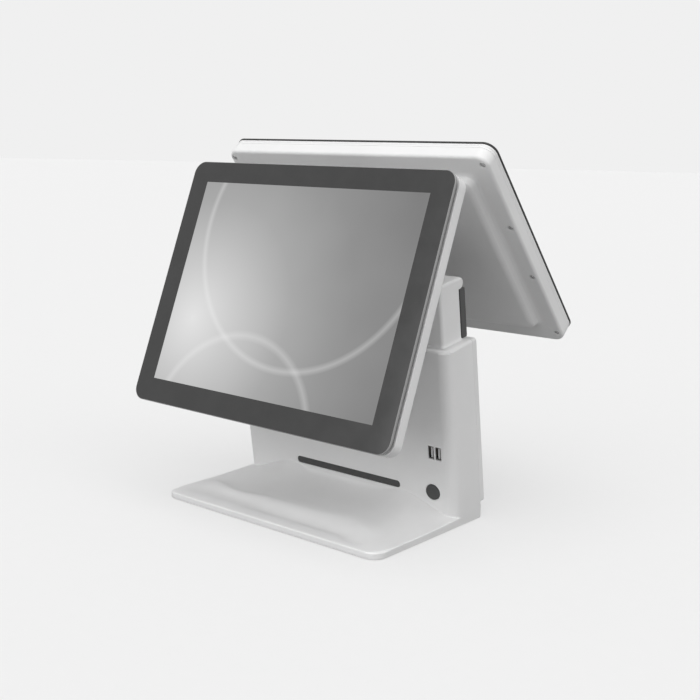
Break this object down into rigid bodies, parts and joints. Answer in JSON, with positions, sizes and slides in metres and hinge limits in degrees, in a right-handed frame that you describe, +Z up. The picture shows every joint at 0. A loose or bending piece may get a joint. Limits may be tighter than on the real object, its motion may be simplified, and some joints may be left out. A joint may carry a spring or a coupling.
{
  "type": "pos touchscreen terminal",
  "caption": "Retail checkout terminal: a leaning column on a flat base holds the computer and carries a tilting touch display and a tilting customer display, back to back.",
  "frame": {"origin": "centre of the footprint of the whole terminal, at desk level under the rubber feet", "axes": "+Z up; the operator stands at -Y and looks along +Y; +X to the operator's right"},
  "size_m": [0.3546, 0.348, 0.4024],
  "materials": {
    "shell_white": "fine textured white moulding",
    "cover_glass": "glossy dark-backed cover glass",
    "frame_dark": "satin black frame",
    "dark_plastic": "satin dark grey plastic",
    "foot_rubber": "matt rubber",
    "circuit_board": "solder-masked board",
    "aluminium": "satin aluminium",
    "sheet_steel": "zinc-plated sheet",
    "hinge_steel": "dark powder coat",
    "lcd_module": "display module",
    "bright_steel": "bright plated steel"
  },
  "bodies": {
    "stand": {"stand_shell": "shell_white", "column_rear_cover": "shell_white", "ballast_plate": "sheet_steel", "foot_front_left": "foot_rubber", "foot_front_right": "foot_rubber", "foot_rear_left": "foot_rubber", "foot_rear_right": "foot_rubber", "label_strip": "dark_plastic", "power_switch": "circuit_board", "front_usb_port_1": "bright_steel", "front_usb_port_2": "bright_steel", "motherboard": "circuit_board", "cpu_heatsink": "aluminium", "memory_module": "circuit_board", "solid_state_drive": "aluminium", "io_panel": "sheet_steel", "dc_inlet": "dark_plastic", "vga_port": "bright_steel", "serial_port": "bright_steel", "lan_port": "bright_steel", "rear_usb_port": "bright_steel", "drawer_port": "dark_plastic", "spine_bracket": "sheet_steel", "neck_shell": "shell_white", "neck_rear_panel": "dark_plastic", "front_hinge_bracket": "hinge_steel", "front_hinge_shaft": "bright_steel", "rear_hinge_bracket": "hinge_steel", "rear_hinge_shaft": "bright_steel"},
    "power_button": {"power_button": "dark_plastic"},
    "front_display": {"front_touch_glass": "cover_glass", "front_bezel_frame": "frame_dark", "front_lcd_panel": "lcd_module", "front_display_housing": "shell_white", "front_mount_plate": "sheet_steel", "front_driver_board": "circuit_board", "front_hinge_arm": "hinge_steel", "front_screw_1": "bright_steel", "front_screw_2": "bright_steel", "front_screw_3": "bright_steel", "front_screw_4": "bright_steel", "front_screw_5": "bright_steel", "front_screw_6": "bright_steel", "front_screw_7": "bright_steel", "front_screw_8": "bright_steel"},
    "rear_display": {"rear_cover_glass": "cover_glass", "rear_bezel_frame": "shell_white", "rear_lcd_panel": "lcd_module", "rear_display_housing": "shell_white", "rear_mount_plate": "sheet_steel", "rear_driver_board": "circuit_board", "rear_hinge_arm": "hinge_steel", "rear_screw_1": "bright_steel", "rear_screw_2": "bright_steel", "rear_screw_3": "bright_steel", "rear_screw_4": "bright_steel", "rear_screw_5": "bright_steel", "rear_screw_6": "bright_steel", "rear_screw_7": "bright_steel", "rear_screw_8": "bright_steel"}
  },
  "joints": [
    {"name": "front_display_tilt", "type": "hinge", "parent": "stand", "child": "front_display", "pos_m": [0, -0.06715, 0.22359], "axis": [-1, 0, 0], "range_deg": [-20, 10]},
    {"name": "rear_display_tilt", "type": "hinge", "parent": "stand", "child": "rear_display", "pos_m": [0, 0.04096, 0.24753], "axis": [-1, 0, 0], "range_deg": [0, 35]},
    {"name": "power_button_press", "type": "slide", "parent": "stand", "child": "power_button", "axis": [0, 0.9857, 0.1685], "range_m": [0, 0.0015], "stiffness_N_per_m": 600, "springref_m": -0.0006}
  ]
}
